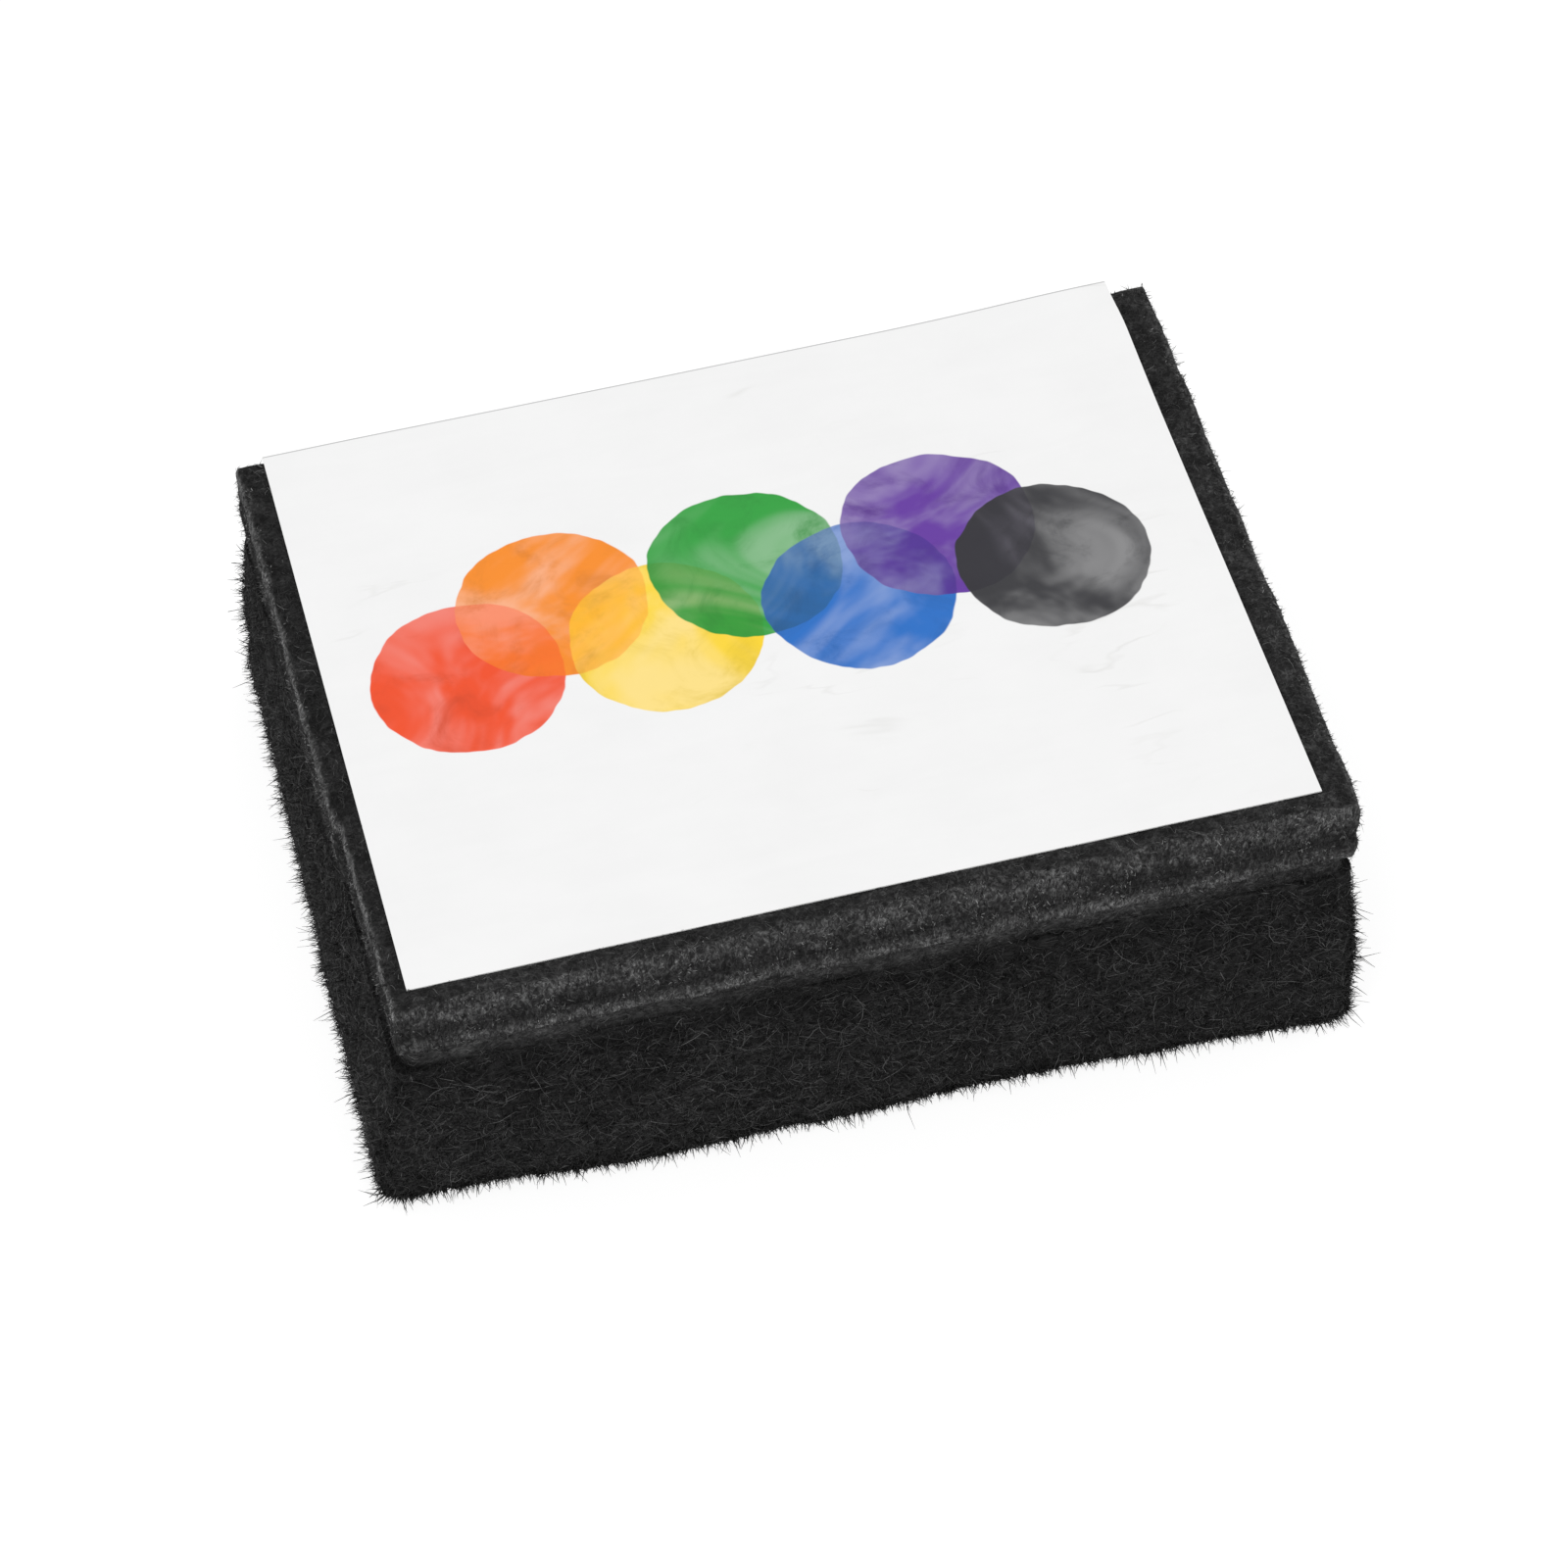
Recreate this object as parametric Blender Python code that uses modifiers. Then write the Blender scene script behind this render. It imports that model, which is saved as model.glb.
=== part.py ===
"""A small felt chalkboard eraser: two pressed felt plies, glued over a thick felt pad, with a label on top.

Units are metres and +Z is up. The origin is the middle of the eraser's box, on the surface that the wiping
pad rests on. +X runs along the long side and +Y along the short one. The felt is cut and pressed unevenly,
so the -X end is lower than the +X end, and every joint between two layers slopes a little along X.
"""

import math

import bmesh
import bpy

MM = 0.001

# Driving dimensions
PAD_LENGTH = 76.2 * MM
PAD_DEPTH = 58.2 * MM
BACKING_LENGTH = 75.2 * MM
BACKING_DEPTH = 57.4 * MM
OVERALL_HEIGHT = 25.4 * MM
RISE = 2.0 * MM  # how much higher the backing's +X end stands than its -X end

# The label, by the felt that it leaves bare on three sides and by how far it hangs over the fourth
LABEL_LEFT_MARGIN = 1.9 * MM
LABEL_RIGHT_MARGIN = 2.5 * MM
LABEL_FRONT_MARGIN = 2.0 * MM
LABEL_OVERHANG = 0.9 * MM

# Each layer's thickness at the backing's -X end and at its +X end, from the top down
LABEL_THICKNESS = (0.2 * MM, 0.2 * MM)
UPPER_PLY_THICKNESS = (2.6 * MM, 3.5 * MM)
LOWER_PLY_THICKNESS = (1.8 * MM, 2.2 * MM)
FACING_THICKNESS = (1.9 * MM, 1.7 * MM)
JOINT_GAP = (0.3 * MM, 0.3 * MM)  # between two bonded layers, with a glue film in the middle of it
FILM_THICKNESS = (0.1 * MM, 0.1 * MM)
FILM_CLEARANCE = (0.1 * MM, 0.1 * MM)
RESTING_PLANE = (0.0, 0.0)

# How far a glue film stays inside the edge of what it holds
FILM_INSET = 0.8 * MM
LABEL_GLUE_INSET = 0.3 * MM
FACING_INSET = 0.3 * MM

BACKING_CORNER = 0.6 * MM
PAD_CORNER = 1.6 * MM
LABEL_CORNER = 0.2 * MM
CORNER_STEPS = 6
PLY_EDGE = 0.25 * MM
PAD_EDGE = 1.0 * MM
EDGE_STEPS = 4
SHARP_EDGE = math.radians(50)

# Places that follow from the dimensions
LABEL_BACK = BACKING_DEPTH / 2 + LABEL_OVERHANG
FELT_CENTRE = (0.0, (PAD_DEPTH / 2 - LABEL_BACK) / 2)
BACKING_SIZE = (BACKING_LENGTH, BACKING_DEPTH)
LABEL_SIZE = (
    BACKING_LENGTH - LABEL_LEFT_MARGIN - LABEL_RIGHT_MARGIN,
    BACKING_DEPTH - LABEL_FRONT_MARGIN + LABEL_OVERHANG,
)
LABEL_CENTRE = (
    FELT_CENTRE[0] + (LABEL_LEFT_MARGIN - LABEL_RIGHT_MARGIN) / 2,
    FELT_CENTRE[1] + (LABEL_FRONT_MARGIN + LABEL_OVERHANG) / 2,
)


def clear_scene():
    """Start from nothing."""
    for thing in list(bpy.data.objects):
        bpy.data.objects.remove(thing, do_unlink=True)


def part_collection():
    """The collection that holds the eraser's parts."""
    collection = bpy.data.collections.new("chalkboard_eraser")
    bpy.context.scene.collection.children.link(collection)
    return collection


def material(name, colour, roughness):
    """A plain non-metal finish."""
    finish = bpy.data.materials.new(name)
    finish.use_nodes = True
    shader = finish.node_tree.nodes["Principled BSDF"]
    shader.inputs["Base Color"].default_value = (*colour, 1.0)
    shader.inputs["Roughness"].default_value = roughness
    shader.inputs["Metallic"].default_value = 0.0
    finish.diffuse_color = (*colour, 1.0)
    return finish


def label_stock():
    return material("label_stock", (0.88, 0.88, 0.88), 0.35)


def pressed_felt():
    return material("pressed_felt", (0.030, 0.030, 0.031), 0.95)


def needled_felt():
    return material("needled_felt", (0.014, 0.014, 0.015), 1.0)


def glue():
    return material("glue", (0.52, 0.46, 0.34), 0.5)


def height_at(plane, x):
    """The height at x of a plane that is given by its heights at the backing's two ends."""
    low_end, high_end = plane
    return low_end + (high_end - low_end) * (x / BACKING_LENGTH + 0.5)


def under(plane, thickness):
    """The plane that lies under another one by a thickness given at both ends."""
    return (plane[0] - thickness[0], plane[1] - thickness[1])


def inset(size, distance):
    """A size made smaller by the same distance on every side."""
    return (size[0] - 2 * distance, size[1] - 2 * distance)


def label_top():
    """The eraser's highest plane, which reaches the overall height at the label's +X edge."""
    slope = RISE / BACKING_LENGTH
    label_end = LABEL_CENTRE[0] + LABEL_SIZE[0] / 2
    high_end = OVERALL_HEIGHT + slope * (BACKING_LENGTH / 2 - label_end)
    return (high_end - RISE, high_end)


def is_upright(edge):
    """Whether an edge of the starting box runs from its bottom to its top."""
    first, second = edge.verts
    return (first.co.xy - second.co.xy).length < 1e-6


def layer(name, size, centre, top, bottom, corner, finish, collection):
    """One flat layer with rounded upright corners, between two sloping planes."""
    base = height_at(bottom, centre[0])
    shape = bmesh.new()
    bmesh.ops.create_cube(shape, size=1.0)
    for vertex in shape.verts:
        plane = top if vertex.co.z > 0 else bottom
        vertex.co.x *= size[0]
        vertex.co.y *= size[1]
        vertex.co.z = height_at(plane, centre[0] + vertex.co.x) - base
    upright = [edge for edge in shape.edges if is_upright(edge)]
    bmesh.ops.bevel(
        shape, geom=upright, offset=corner, segments=CORNER_STEPS, profile=0.5, affect="EDGES"
    )
    mesh = bpy.data.meshes.new(name)
    shape.to_mesh(mesh)
    shape.free()
    mesh.materials.append(finish)
    part = bpy.data.objects.new(name, mesh)
    part.location = (centre[0], centre[1], base)
    collection.objects.link(part)
    return part


def round_edges(part, radius):
    """Round the edges around a layer's top and bottom, and shade its round places smooth."""
    part.data.shade_smooth()
    part.data.set_sharp_from_angle(angle=SHARP_EDGE)
    bevel = part.modifiers.new("rounded_edges", "BEVEL")
    bevel.width = radius
    bevel.segments = EDGE_STEPS
    bevel.limit_method = "ANGLE"
    bevel.angle_limit = SHARP_EDGE


def label_sheet(top, finish, collection):
    """The printed label, which hangs over the back edge."""
    bottom = under(top, LABEL_THICKNESS)
    layer("label_sheet", LABEL_SIZE, LABEL_CENTRE, top, bottom, LABEL_CORNER, finish, collection)
    return bottom


def glue_film(name, size, centre, joint, corner, finish, collection):
    """A film of glue in the middle of the gap that lies under a joint's upper face."""
    top = under(joint, FILM_CLEARANCE)
    bottom = under(top, FILM_THICKNESS)
    layer(name, size, centre, top, bottom, corner, finish, collection)


def label_adhesive(joint, finish, collection):
    """The label's coat of adhesive, on the felt only and not under the overhang."""
    length, depth = inset(LABEL_SIZE, LABEL_GLUE_INSET)
    size = (length, depth - LABEL_OVERHANG)
    centre = (LABEL_CENTRE[0], LABEL_CENTRE[1] - LABEL_OVERHANG / 2)
    glue_film("label_adhesive", size, centre, joint, LABEL_CORNER, finish, collection)


def upper_backing_felt(top, finish, collection):
    """The thicker pressed felt ply, which the label is stuck to."""
    bottom = under(top, UPPER_PLY_THICKNESS)
    ply = layer(
        "upper_backing_felt", BACKING_SIZE, FELT_CENTRE, top, bottom, BACKING_CORNER, finish, collection
    )
    round_edges(ply, PLY_EDGE)
    return bottom


def ply_bond_film(joint, finish, collection):
    """The glue film between the two backing plies."""
    size = inset(BACKING_SIZE, FILM_INSET)
    glue_film("ply_bond_film", size, FELT_CENTRE, joint, BACKING_CORNER, finish, collection)


def lower_backing_felt(top, finish, collection):
    """The thinner pressed felt ply."""
    bottom = under(top, LOWER_PLY_THICKNESS)
    ply = layer(
        "lower_backing_felt", BACKING_SIZE, FELT_CENTRE, top, bottom, BACKING_CORNER, finish, collection
    )
    round_edges(ply, PLY_EDGE)
    return bottom


def pad_bond_film(joint, finish, collection):
    """The glue film between the backing and the pad's facing."""
    size = inset(BACKING_SIZE, FILM_INSET)
    glue_film("pad_bond_film", size, FELT_CENTRE, joint, BACKING_CORNER, finish, collection)


def pad_facing(top, finish, collection):
    """The smooth thin felt layer at the top of the pad, which takes the glue."""
    bottom = under(top, FACING_THICKNESS)
    size = inset(BACKING_SIZE, FACING_INSET)
    ply = layer("pad_facing", size, FELT_CENTRE, top, bottom, BACKING_CORNER, finish, collection)
    round_edges(ply, PLY_EDGE)
    return bottom


def wiping_pad(top, finish, collection):
    """The thick soft felt pad, down to the face that wipes the board."""
    size = (PAD_LENGTH, PAD_DEPTH)
    pad = layer("wiping_pad", size, FELT_CENTRE, top, RESTING_PLANE, PAD_CORNER, finish, collection)
    round_edges(pad, PAD_EDGE)


def build():
    """Lay the parts from the label down, with a joint's gap between each layer and the next."""
    clear_scene()
    collection = part_collection()
    backing, pad, bond = pressed_felt(), needled_felt(), glue()
    joint = label_sheet(label_top(), label_stock(), collection)
    label_adhesive(joint, bond, collection)
    joint = upper_backing_felt(under(joint, JOINT_GAP), backing, collection)
    ply_bond_film(joint, bond, collection)
    joint = lower_backing_felt(under(joint, JOINT_GAP), backing, collection)
    pad_bond_film(joint, bond, collection)
    joint = pad_facing(under(joint, JOINT_GAP), pad, collection)
    wiping_pad(under(joint, JOINT_GAP), pad, collection)


build()
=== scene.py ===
import math

import bpy
import numpy as np
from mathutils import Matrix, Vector, noise
from mathutils.bvhtree import BVHTree


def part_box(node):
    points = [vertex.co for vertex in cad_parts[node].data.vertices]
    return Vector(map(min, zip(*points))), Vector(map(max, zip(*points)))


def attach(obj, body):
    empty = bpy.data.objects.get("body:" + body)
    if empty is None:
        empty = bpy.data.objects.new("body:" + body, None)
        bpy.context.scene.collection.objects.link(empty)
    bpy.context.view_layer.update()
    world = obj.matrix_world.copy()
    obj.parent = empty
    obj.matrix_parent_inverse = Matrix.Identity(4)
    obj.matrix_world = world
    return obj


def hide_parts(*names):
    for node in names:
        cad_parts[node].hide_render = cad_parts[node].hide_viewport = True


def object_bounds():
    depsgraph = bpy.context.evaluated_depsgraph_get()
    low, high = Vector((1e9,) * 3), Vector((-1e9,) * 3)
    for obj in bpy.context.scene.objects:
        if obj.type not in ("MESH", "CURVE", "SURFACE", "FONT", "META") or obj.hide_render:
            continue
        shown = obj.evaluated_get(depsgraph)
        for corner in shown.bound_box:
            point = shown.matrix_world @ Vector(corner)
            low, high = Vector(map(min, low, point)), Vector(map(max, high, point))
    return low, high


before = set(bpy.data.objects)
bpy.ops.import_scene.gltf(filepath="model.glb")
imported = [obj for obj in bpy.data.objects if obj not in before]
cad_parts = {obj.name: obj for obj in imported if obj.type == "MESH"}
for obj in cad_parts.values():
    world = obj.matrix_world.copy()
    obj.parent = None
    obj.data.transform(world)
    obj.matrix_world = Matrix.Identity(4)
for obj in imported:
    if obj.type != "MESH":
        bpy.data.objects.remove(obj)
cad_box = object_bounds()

MM = 0.001
SEED = 20
LOWEST = 0.01 * MM  # nothing comes nearer to the floor than this
UNDERSIDE = 0.15 * MM  # the pad under its hairs

# Camera: level, left of the front and looking down on the label
CAMERA_AZIMUTH = math.radians(-14.52)
CAMERA_ELEVATION = math.radians(49.6)
CAMERA_DISTANCE = 423.4 * MM
CAMERA_LENS = 122.2  # on a 36 mm sensor
AIM_FROM_CENTRE = Vector((-0.83, -3.35, -2.93)) * MM

# How finely the felt surfaces are meshed
SIDE_CELL = 0.4 * MM
PLY_CELL = 0.28 * MM
COARSE_CELL = 1.5 * MM
CORNER_POINTS = 12
EDGE_ROWS = 5
RIM = 0.7 * MM  # the glue films stay further in than this
MIDDLE_STRIP = 0.6 * MM  # the innermost ring's distance from the middle line
TIGHTEST_CORNER = 0.25 * MM
BACKING_CORNER = 0.35 * MM
FACING_CORNER = 1.5 * MM
PAD_CORNER = 1.6 * MM


# -------- places from the frame

class Slab:
    """A layer of the CAD: its box, and its bottom and top planes, which slope along X."""

    def __init__(self, node):
        low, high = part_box(node)
        self.x = (low.x, high.x)
        self.y = (low.y, high.y)
        points = np.array([v.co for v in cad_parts[node].data.vertices])
        left = points[points[:, 0] < 0, 2]
        right = points[points[:, 0] > 0, 2]
        self.bottom = (left.min(), right.min())
        self.top = (left.max(), right.max())

    @property
    def centre(self):
        return (sum(self.x) / 2, sum(self.y) / 2)

    @property
    def half(self):
        return ((self.x[1] - self.x[0]) / 2, (self.y[1] - self.y[0]) / 2)


def height_at(plane, slab, x):
    """The height at x of a plane given by its heights at a slab's two ends."""
    share = (x - slab.x[0]) / (slab.x[1] - slab.x[0])
    return plane[0] + (plane[1] - plane[0]) * share


def height_share(slab, points):
    """How high points are in a slab, from 0 at its bottom to 1 at its top."""
    low = height_at(slab.bottom, slab, points[:, 0])
    high = height_at(slab.top, slab, points[:, 0])
    return (points[:, 2] - low) / (high - low)


LABEL = Slab("label_sheet")
UPPER = Slab("upper_backing_felt")
LOWER = Slab("lower_backing_felt")
FACING = Slab("pad_facing")
PAD = Slab("wiping_pad")


def under_pad_top(points):
    return height_at(PAD.top, PAD, points[:, 0]) - points[:, 2]


# -------- meshes from arrays

def add_mesh(name, points, faces, material_index=None):
    """A smooth mesh object. faces is a list of arrays, with the point numbers of one face in each row."""
    mesh = bpy.data.meshes.new(name)
    corners = np.concatenate([group.ravel() for group in faces])
    sizes = np.concatenate([np.full(len(group), group.shape[1]) for group in faces])
    starts = np.concatenate([[0], np.cumsum(sizes)[:-1]])
    mesh.vertices.add(len(points))
    mesh.vertices.foreach_set("co", np.asarray(points, np.float32).ravel())
    mesh.loops.add(len(corners))
    mesh.loops.foreach_set("vertex_index", corners.astype(np.int32))
    mesh.polygons.add(len(sizes))
    mesh.polygons.foreach_set("loop_start", starts.astype(np.int32))
    if material_index is not None:
        mesh.polygons.foreach_set("material_index", material_index.astype(np.int32))
    mesh.update(calc_edges=True)
    mesh.shade_smooth()
    piece = bpy.data.objects.new(name, mesh)
    bpy.context.scene.collection.objects.link(piece)
    return piece


def set_attribute(piece, name, values):
    """Store one number for each point, for a material to read."""
    layer = piece.data.attributes.new(name, "FLOAT", "POINT")
    layer.data.foreach_set("value", np.asarray(values, np.float32))


def from_edge(slab, points):
    """How far points are inside a slab's sides."""
    inside_x = np.minimum(points[:, 0] - slab.x[0], slab.x[1] - points[:, 0])
    inside_y = np.minimum(points[:, 1] - slab.y[0], slab.y[1] - points[:, 1])
    return np.minimum(inside_x, inside_y)


def smooth_step(low, high, value):
    share = np.clip((value - low) / (high - low), 0, 1)
    return share * share * (3 - 2 * share)


def waves(points, size, seed, octaves=1):
    """Smooth noise from -1 to 1 at each point, with features of about this size."""
    shift = Vector((seed * 7.31, seed * 3.17, seed * 5.73))
    return np.array([noise.fractal(Vector(p) / size + shift, 0.6, 2.0, octaves) for p in points])


# -------- felt layers as rings

def outline(half_x, half_y, radius, long_points, short_points):
    """Points around a rounded rectangle, anticlockwise from the front side's -X end, and their outward
    directions."""
    flat_x, flat_y = half_x - radius, half_y - radius
    along_x = np.linspace(-flat_x, flat_x, long_points, endpoint=False)
    along_y = np.linspace(-flat_y, flat_y, short_points, endpoint=False)
    turn = np.linspace(0, math.pi / 2, CORNER_POINTS, endpoint=False)
    sides = [
        np.stack([along_x, np.full(long_points, -half_y)], 1),
        np.stack([np.full(short_points, half_x), along_y], 1),
        np.stack([-along_x, np.full(long_points, half_y)], 1),
        np.stack([np.full(short_points, -half_x), -along_y], 1),
    ]
    centres = [(flat_x, -flat_y), (flat_x, flat_y), (-flat_x, flat_y), (-flat_x, -flat_y)]
    path, outward = [], []
    for quarter, (side, middle) in enumerate(zip(sides, centres)):
        angle = turn + (quarter - 1) * math.pi / 2
        round_corner = np.stack([np.cos(angle), np.sin(angle)], 1)
        path.append(side)
        outward.append(np.tile(round_corner[0], (len(side), 1)))
        path.append(np.array(middle) + radius * round_corner)
        outward.append(round_corner)
    return np.concatenate(path), np.concatenate(outward)


def side_profile(slab, edge_top, edge_bottom, reach_top, reach_bottom, cell, meets_top, meets_bottom):
    """A layer's section from the middle of its top to the middle of its bottom, as rows of inset, share of
    the height, and a further lift. The rows come close together where the felt shows. meets_top and
    meets_bottom are how far the rim reaches on, outside the glue, to meet the next layer."""
    limit = slab.half[1] - MIDDLE_STRIP
    thickest = max(slab.top[0] - slab.bottom[0], slab.top[1] - slab.bottom[1])
    rows = []
    inset = limit
    while inset > edge_top + cell / 2:
        rows.append((inset, 1.0, meets_top * (inset < RIM)))
        inset -= cell if inset <= reach_top else COARSE_CELL
    top, bottom = meets_top - edge_top, edge_bottom - meets_bottom
    for angle in np.linspace(0, math.pi / 2, EDGE_ROWS):
        rows.append((edge_top * (1 - math.sin(angle)), 1.0, top + edge_top * math.cos(angle)))
    steps = max(3, round((thickest - edge_top - edge_bottom) / cell))
    for share in np.linspace(0, 1, steps + 1)[1:-1]:
        rows.append((0.0, 1 - share, top * (1 - share) + bottom * share))
    for angle in np.linspace(math.pi / 2, 0, EDGE_ROWS):
        rows.append((edge_bottom * (1 - math.sin(angle)), 0.0, bottom - edge_bottom * math.cos(angle)))
    inset = edge_bottom + cell
    while inset < limit:
        rows.append((inset, 0.0, -meets_bottom * (inset < RIM)))
        inset += cell if inset <= reach_bottom else COARSE_CELL
    return rows


def felt_body(name, slab, bottom, top, corner, profile, shape):
    """A closed felt layer made of rings around its outline, from the top's middle to the bottom's. shape
    moves its points, given their normals, outward directions and insets from the side."""
    half_x, half_y = slab.half
    long_points = round(2 * (half_x - corner) / SIDE_CELL)
    short_points = round(2 * (half_y - corner) / SIDE_CELL)
    rings, shares, insets, outward = [], [], [], []
    for inset, share, lift in profile:
        radius = max(corner - inset, TIGHTEST_CORNER)
        ring, away = outline(half_x - inset, half_y - inset, radius, long_points, short_points)
        ring = ring + np.array(slab.centre)
        outward.append(np.column_stack([away, np.zeros(len(away))]))
        low = height_at(bottom, slab, ring[:, 0])
        high = height_at(top, slab, ring[:, 0])
        z = low + (high - low) * share + lift
        rings.append(np.column_stack([ring, z]))
        shares.append((z - low) / (high - low))
        insets.append(np.full(len(z), inset))
    around = len(rings[0])
    points = np.concatenate(rings)
    ring_index = np.arange(len(rings) - 1)[:, None] * around
    here = np.arange(around)[None, :]
    after = (here + 1) % around
    quads = np.stack(
        [ring_index + here, ring_index + here + around, ring_index + after + around, ring_index + after], -1
    ).reshape(-1, 4)
    top_cap = np.arange(around)[None, :]
    bottom_cap = (np.arange(around)[::-1] + (len(rings) - 1) * around)[None, :]
    piece = add_mesh(name, points, [quads, top_cap, bottom_cap])
    set_attribute(piece, "height_share", np.concatenate(shares))
    set_attribute(piece, "inset_mm", np.concatenate(insets) / MM)
    move_points(piece, shape, np.concatenate(outward), np.concatenate(insets))
    return piece


def move_points(piece, shape, outward, insets):
    """Move a mesh's points to where shape puts them."""
    mesh = piece.data
    count = len(mesh.vertices)
    points = np.zeros(count * 3, np.float32)
    normals = np.zeros(count * 3, np.float32)
    mesh.vertices.foreach_get("co", points)
    mesh.vertex_normals.foreach_get("vector", normals)
    points = points.reshape(-1, 3).astype(float)
    normals = normals.reshape(-1, 3).astype(float)
    moved = shape(points, normals, outward, insets)
    mesh.vertices.foreach_set("co", moved.astype(np.float32).ravel())
    mesh.update()


# -------- the felt's shape

# Layers of noise, each with its height, the size of its features and its octaves
CUT_ROUGHNESS = [(0.15 * MM, 8 * MM, 2), (0.08 * MM, 2.2 * MM, 2), (0.06 * MM, 0.8 * MM, 1)]
NAP_ROUGHNESS = [(0.07 * MM, 3 * MM, 2), (0.05 * MM, 0.9 * MM, 1)]
PAD_ROUGHNESS = [(0.20 * MM, 12 * MM, 2), (0.18 * MM, 4 * MM, 2)]

SIDE_FADE = (0.3 * MM, 2.5 * MM)  # the insets over which a cut face's shape fades
BARE_LIFT = 0.17 * MM  # how far the bare felt comes up beside the label
PLY_LOBE = 0.18 * MM  # how far the plies swell between their joints at the +X end
PLY_PINCH = 0.35  # how far they draw in at the joints, as a share of the lobe
PLY_SPREAD = 0.6 * MM  # how far the plies spread at the back
PLY_SPREAD_START = 15 * MM  # how far behind the middle that starts
FACING_STEP = 0.08 * MM  # how far inside the plies the facing is
FACING_TAPER = 0.45 * MM  # how much further its top is drawn in at the +X end
PAD_TAPER = 0.35 * MM  # how far the pad's top is drawn in where it isn't hollow

# Millimetres towards +X that the backing's ends lean, by share of the depth from front to back. The -X end
# was cut in two strokes.
RIGHT_LEAN = [(0, 0.05), (0.5, 0.4), (1, 0.65)]
LEFT_LEAN = [(0, 0.45), (0.335, 0.30), (0.342, -0.22), (1, -0.45)]

# Millimetres that the pad's side is drawn in, by millimetres under its top
PAD_HOLLOW = [(0, 0.72), (1.3, 1.05), (2.6, 0.70), (5.2, 0.0)]

# Millimetres outward that the pad's lower part swells at the front, by share of the length, and at the -X
# end, by share of the depth, and that the whole height of the -X end stands out
FRONT_SWELL = [(0, -0.35), (0.12, -0.15), (0.26, 0.50), (0.38, 0.25), (0.5, 0.30), (0.72, 0.05), (1, 0.80)]
LEFT_SWELL = [(0, 1.15), (0.25, 0.90), (0.5, 0.70), (0.8, 0.10), (1, 0.0)]
LEFT_STAND = [(0.5, 0.0), (0.8, 0.30), (1, 0.50)]
RIGHT_SWELL = 0.35 * MM
HEM_HEIGHT = 0.35 * MM  # how uneven the pad's lower edge is


def roughness(points, layers, seed):
    """Layers of noise on top of one another."""
    total = 0.0
    for number, (height, size, octaves) in enumerate(layers):
        total = total + height * waves(points, size, seed + number, octaves)
    return total


def under_label(points):
    """1 where the label holds the felt flat, and 0 outside it."""
    inside = np.minimum(points[:, 0] - LABEL.x[0], LABEL.x[1] - points[:, 0])
    inside = np.minimum(inside, points[:, 1] - LABEL.y[0])
    return smooth_step(-0.1 * MM, 0.4 * MM, inside)


def near_end(points, end, reach):
    """1 at the felt's -X (end 0) or +X (end 1) face, fading to 0 at the given reach inside it."""
    inward = points[:, 0] - UPPER.x[0] if end == 0 else UPPER.x[1] - points[:, 0]
    return 1 - smooth_step(0, reach, inward)


def along(points, axis, profile):
    """Distances from a profile of (share of the pad's length or depth, millimetres) pairs."""
    low, high = (PAD.x, PAD.y)[axis]
    places, values = zip(*profile)
    return MM * np.interp((points[:, axis] - low) / (high - low), places, values)


def backing_lean(points):
    """How far the backing's points move towards +X, because its ends aren't cut square."""
    right = along(points, 1, RIGHT_LEAN) * near_end(points, 1, 9 * MM)
    left = along(points, 1, LEFT_LEAN) * near_end(points, 0, 7 * MM)
    return right + left


def cut_face(points):
    """How far a cut face stands out. The plies and the facing were cut in one stroke, so they share this."""
    return roughness(points, CUT_ROUGHNESS, 20)


def ply_shape(slab, napped=False):
    """Pressed felt with rough cut faces, a little swollen between the joints at the thicker end. Only the top
    ply has a napped top, around the label."""
    def shape(points, normals, outward, insets):
        swollen = np.sin(np.pi * np.clip(height_share(slab, points), 0, 1))
        lobe = PLY_LOBE * (swollen - PLY_PINCH) * near_end(points, 1, 7 * MM)
        amount = (cut_face(points) + lobe) * (1 - smooth_step(*SIDE_FADE, insets))
        moved = points + outward * amount[:, None]
        if napped:
            bare = np.clip(normals[:, 2], 0, 1) * (1 - under_label(points))
            moved[:, 2] += (roughness(points, NAP_ROUGHNESS, 24) + BARE_LIFT) * bare
        moved[:, 0] += backing_lean(points)
        moved[:, 1] += PLY_SPREAD * smooth_step(PLY_SPREAD_START, UPPER.y[1], points[:, 1])
        return moved
    return shape


def facing_shape(points, normals, outward, insets):
    """The facing is flush with the backing, but its top is drawn in at the thicker end."""
    share = np.clip(height_share(FACING, points), 0, 1)
    drawn_in = FACING_STEP + FACING_TAPER * share * near_end(points, 1, 20 * MM)
    amount = (cut_face(points) - drawn_in) * (1 - smooth_step(*SIDE_FADE, insets))
    moved = points + outward * amount[:, None]
    moved[:, 0] += backing_lean(points)
    return moved


def pad_hollow(under_top):
    """How far the pad's side is drawn in at each depth under its top."""
    depths, insets = zip(*PAD_HOLLOW)
    return MM * np.interp(under_top / MM, depths, insets)


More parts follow.
